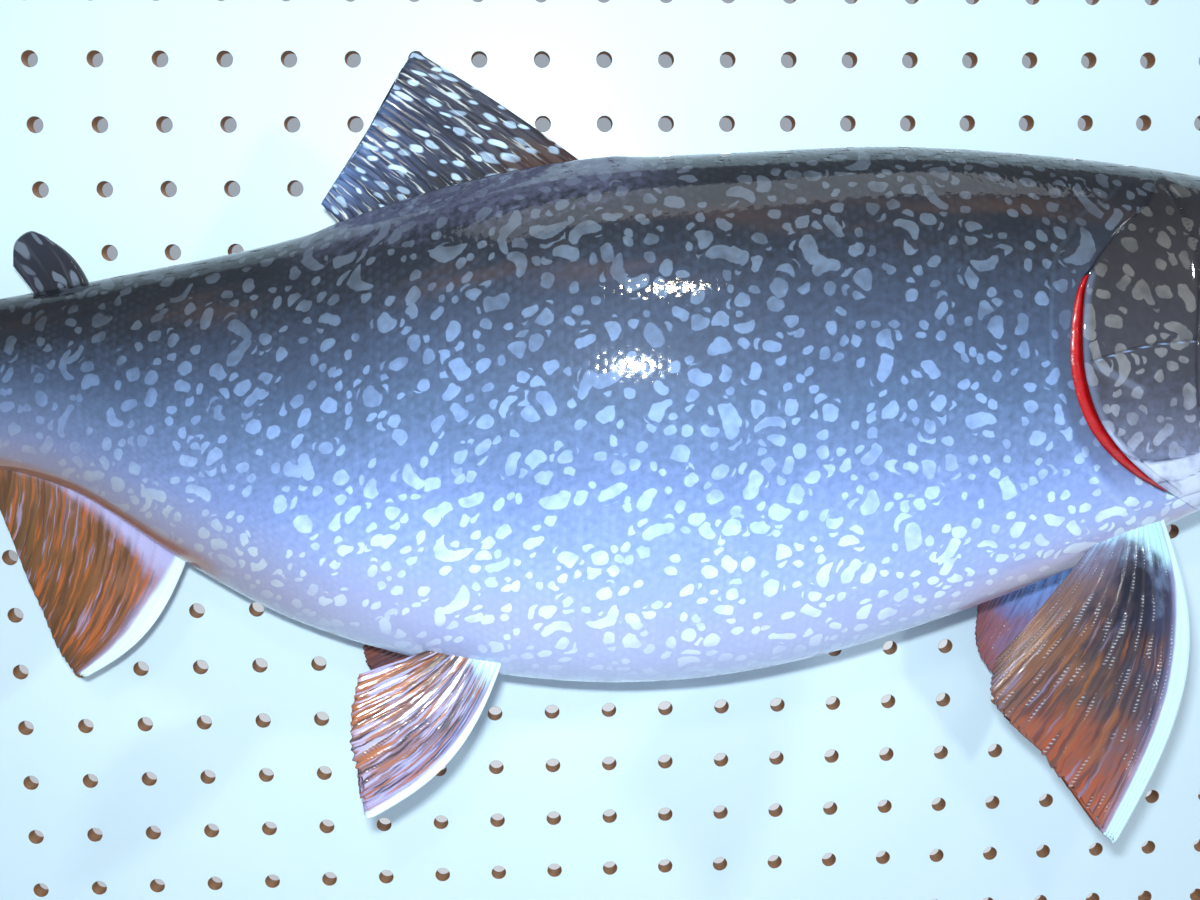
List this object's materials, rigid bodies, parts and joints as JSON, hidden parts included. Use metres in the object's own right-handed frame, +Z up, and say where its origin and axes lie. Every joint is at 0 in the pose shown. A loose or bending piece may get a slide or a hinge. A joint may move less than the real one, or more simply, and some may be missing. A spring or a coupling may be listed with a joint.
{
  "type": "mounted lake trout on pegboard panel",
  "caption": "Life-size still mount of a lake trout, side on with spread fins and a closed mouth, fixed by a hidden block to a flat perforated panel for wall display.",
  "frame": {"origin": "centre of the panel's back face, which lies against the wall", "axes": "+X along the fish from tail to snout, +Y into the wall, +Z up"},
  "size_m": [0.9398, 0.1064, 0.508],
  "materials": {
    "panel": "smooth white melamine facing on hardboard, semi-gloss",
    "block": "bare planed softwood",
    "skin": "painted fish skin under clear gloss coat, pale spots over a charcoal back and pale lavender belly",
    "gill_red": "wet-looking red gill membrane under clear gloss",
    "eye": "polished glass eye with a dark pupil and brassy iris",
    "dark_fin": "slate rays with pale oval spots under clear gloss",
    "warm_fin": "orange-brown rays with a white leading edge under clear gloss"
  },
  "bodies": {
    "root": {"board": "panel", "mounting_block": "block", "head": "skin", "lower_jaw": "skin", "near_gill_cover": "skin", "far_gill_cover": "skin", "near_upper_jaw": "skin", "far_upper_jaw": "skin", "front_trunk": "skin", "rear_trunk": "skin", "tail_stock": "skin", "gill_lining": "gill_red", "near_eye": "eye", "far_eye": "eye", "dorsal_fin": "dark_fin", "adipose_fin": "dark_fin", "tail_fin": "dark_fin", "anal_fin": "warm_fin", "near_pelvic_fin": "warm_fin", "far_pelvic_fin": "warm_fin", "near_pectoral_fin": "warm_fin", "far_pectoral_fin": "warm_fin"}
  },
  "joints": []
}
